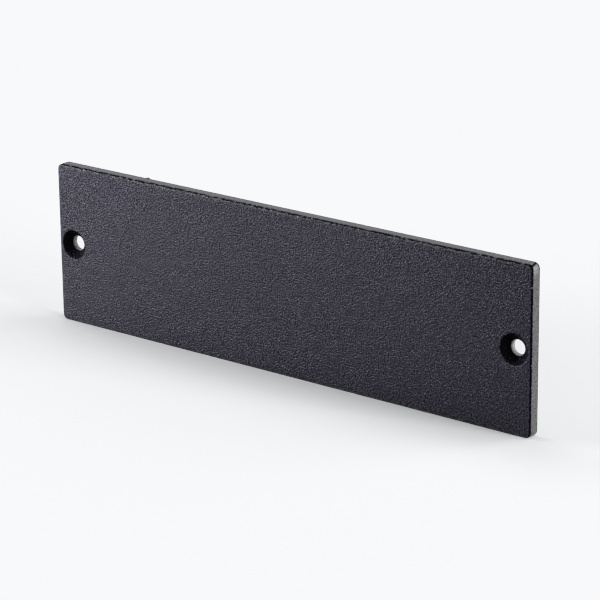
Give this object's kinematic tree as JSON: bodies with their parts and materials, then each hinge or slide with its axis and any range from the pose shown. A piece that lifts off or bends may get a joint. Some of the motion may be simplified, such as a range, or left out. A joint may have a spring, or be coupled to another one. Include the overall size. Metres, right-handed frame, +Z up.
{
  "type": "rack blanking panel",
  "caption": "Flat black powder-coated plate that closes an empty bay of a rack module frame, with a countersunk screw hole near each end.",
  "frame": {"origin": "middle of the rear face, where the panel seats on the rails", "axes": "+X along the long side, +Y from the front face to the rear face, +Z up across the short side"},
  "size_m": [0.1334, 0.003, 0.0382],
  "materials": {
    "powder_coat": "black fine-texture powder coat, satin"
  },
  "bodies": {
    "root": {"blanking_panel": "powder_coat"}
  },
  "joints": []
}
